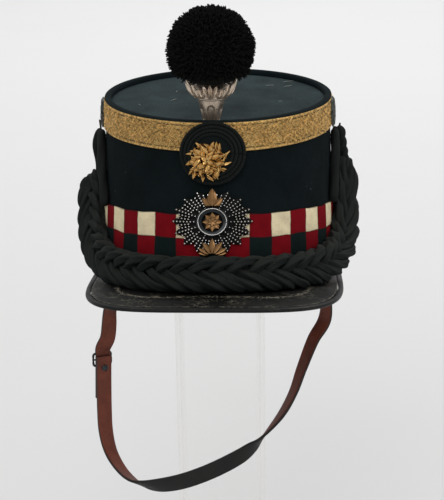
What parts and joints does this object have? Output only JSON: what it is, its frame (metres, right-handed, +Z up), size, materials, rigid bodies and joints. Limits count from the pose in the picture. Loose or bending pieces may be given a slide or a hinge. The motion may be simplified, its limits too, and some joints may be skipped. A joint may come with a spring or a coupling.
{
  "type": "shako hat on a display stand",
  "caption": "Military shako with a leaning crown, gold lace, diced band, plaited cords, peak, chin strap and ball tuft, held on a clear tube stand.",
  "frame": {"origin": "centre of the stand's round underside, on the surface that it stands on", "axes": "+Z up along the stand's tube, -Y the way the hat's front and peak face, +X the viewer's right from the front"},
  "size_m": [0.1913, 0.2387, 0.4433],
  "materials": {
    "stand": "clear cast acrylic, polished",
    "felt": "blue-black wool felt",
    "top_cloth": "napped dark cloth, dusty",
    "welt": "cloth-covered welt",
    "lace": "woven gold wire lace",
    "diced": "woven wool in red, white and dark green checks",
    "peak": "black enamelled leather, crazed",
    "binding": "black leather edge binding",
    "boss": "black corded wool",
    "gilt": "worn gilt, cast",
    "silver": "cut and polished silver plate",
    "ring": "dark oxidised ring with a bright rim",
    "stem": "fluted silver, tarnished",
    "cup": "worn silver gilt",
    "tuft": "black worsted",
    "plait": "braided black worsted cord",
    "hook": "dark iron wire",
    "side_rosette": "tarnished bronze",
    "strap": "leather, black outside and red-brown inside",
    "buckle": "dark japanned metal"
  },
  "bodies": {
    "root": {"stand_base": "stand", "stand_tube": "stand", "crown_shell": "felt", "crown_top": "top_cloth", "rim_welt": "welt", "lace_band": "lace", "diced_band": "diced", "peak": "peak", "peak_binding": "binding", "boss": "boss", "boss_ornament": "gilt", "plate_star": "silver", "plate_ring": "ring", "plate_rosette": "gilt", "plate_finial": "gilt", "plate_spray": "gilt", "socket_stem": "stem", "leaf_cup": "cup", "ball_tuft": "tuft", "plait": "plait", "cord_loop_left": "plait", "cord_loop_right": "plait", "hook_left": "hook", "hook_right": "hook", "side_rosette_left": "side_rosette", "side_rosette_right": "side_rosette", "strap_short": "strap", "strap_long": "strap", "buckle": "buckle", "strap_stud": "buckle", "strap_rivet_left": "buckle", "strap_rivet_right": "buckle"}
  },
  "joints": []
}
